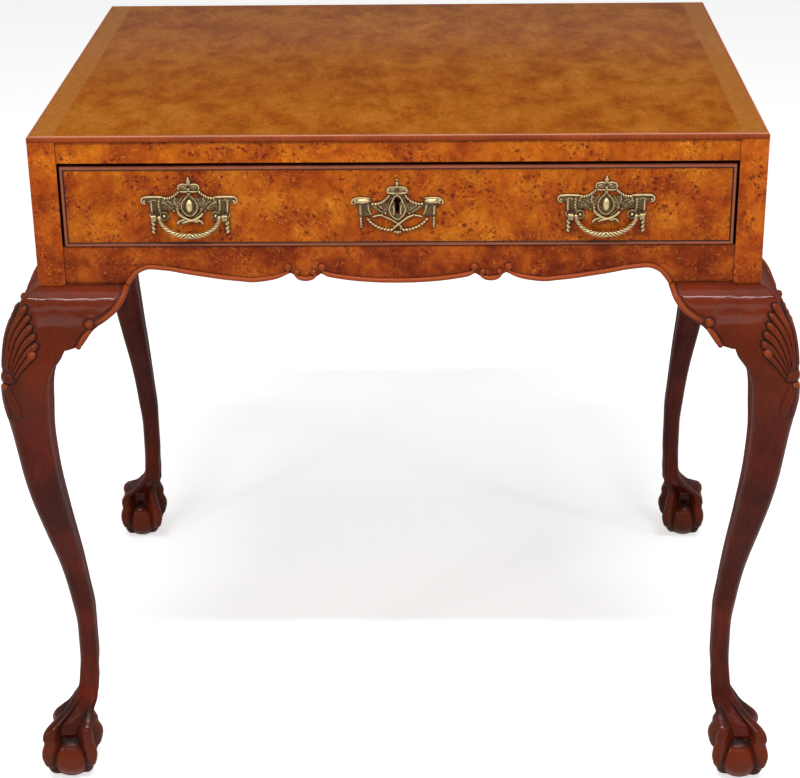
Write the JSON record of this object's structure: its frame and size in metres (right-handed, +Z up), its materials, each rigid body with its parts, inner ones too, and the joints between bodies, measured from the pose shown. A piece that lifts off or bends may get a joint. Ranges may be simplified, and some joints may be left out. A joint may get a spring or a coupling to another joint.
{
  "type": "tea table",
  "caption": "Rectangular tea table with a shaped apron, one long drawer with drop handles and a lock, and carved cabriole legs on ball-and-claw feet.",
  "frame": {"origin": "on the floor under the middle of the case", "axes": "+X to the right of a person who faces the drawer, +Y to the back, +Z up"},
  "size_m": [0.8412, 0.6642, 0.762],
  "materials": {
    "burr_veneer": "french polished burr walnut veneer",
    "carved_mahogany": "dark waxed carved mahogany",
    "oak": "bare aged oak",
    "pine": "bare aged pine",
    "antique_brass": "cast brass with dark patina",
    "brass": "plain sheet brass",
    "steel": "plain steel"
  },
  "bodies": {
    "root": {"leg_front_left": "carved_mahogany", "stile_front_left": "burr_veneer", "leg_front_right": "carved_mahogany", "stile_front_right": "burr_veneer", "leg_back_left": "carved_mahogany", "stile_back_left": "burr_veneer", "leg_back_right": "carved_mahogany", "stile_back_right": "burr_veneer", "ear_front_left": "carved_mahogany", "ear_front_right": "carved_mahogany", "ear_back_left": "carved_mahogany", "ear_back_right": "carved_mahogany", "ear_left_front": "carved_mahogany", "ear_left_back": "carved_mahogany", "ear_right_front": "carved_mahogany", "ear_right_back": "carved_mahogany", "apron_front": "burr_veneer", "apron_bead": "carved_mahogany", "side_rail_left": "burr_veneer", "side_bead_left": "carved_mahogany", "side_rail_right": "burr_veneer", "side_bead_right": "carved_mahogany", "back_rail": "burr_veneer", "top_front_rail": "burr_veneer", "top_board": "burr_veneer", "drawer_runner_left": "oak", "drawer_guide_left": "oak", "kicker_left": "oak", "drawer_runner_right": "oak", "drawer_guide_right": "oak", "kicker_right": "oak", "drawer_stops": "oak", "top_glue_blocks": "pine", "corner_glue_blocks": "pine", "top_screws": "steel", "strike_plate": "brass", "strike_screws": "brass"},
    "drawer": {"drawer_front": "burr_veneer", "cock_bead": "carved_mahogany", "drawer_side_left": "oak", "drawer_side_right": "oak", "drawer_back": "oak", "drawer_bottom": "oak", "lock_case": "brass", "lock_cover": "brass", "lock_screws": "brass", "handle_plate_left": "antique_brass", "handle_plate_right": "antique_brass", "handle_posts_left": "antique_brass", "handle_posts_right": "antique_brass", "handle_nuts_left": "antique_brass", "handle_nuts_right": "antique_brass", "escutcheon": "antique_brass", "escutcheon_pins": "antique_brass"},
    "bail_left": {"handle_bail_left": "antique_brass"},
    "bail_right": {"handle_bail_right": "antique_brass"},
    "lock_bolt": {"lock_bolt": "steel"}
  },
  "joints": [
    {"name": "drawer_slide", "type": "slide", "parent": "root", "child": "drawer", "axis": [0, -1, 0], "range_m": [0, 0.36]},
    {"name": "lock_bolt_slide", "type": "slide", "parent": "drawer", "child": "lock_bolt", "axis": [0, 0, 1], "range_m": [0, 0.008]},
    {"name": "bail_left_swing", "type": "hinge", "parent": "drawer", "child": "bail_left", "pos_m": [-0.214, -0.2945, 0.67644], "axis": [-1, 0, 0], "range_deg": [0, 85]},
    {"name": "bail_right_swing", "type": "hinge", "parent": "drawer", "child": "bail_right", "pos_m": [0.214, -0.2945, 0.67644], "axis": [-1, 0, 0], "range_deg": [0, 85]}
  ]
}
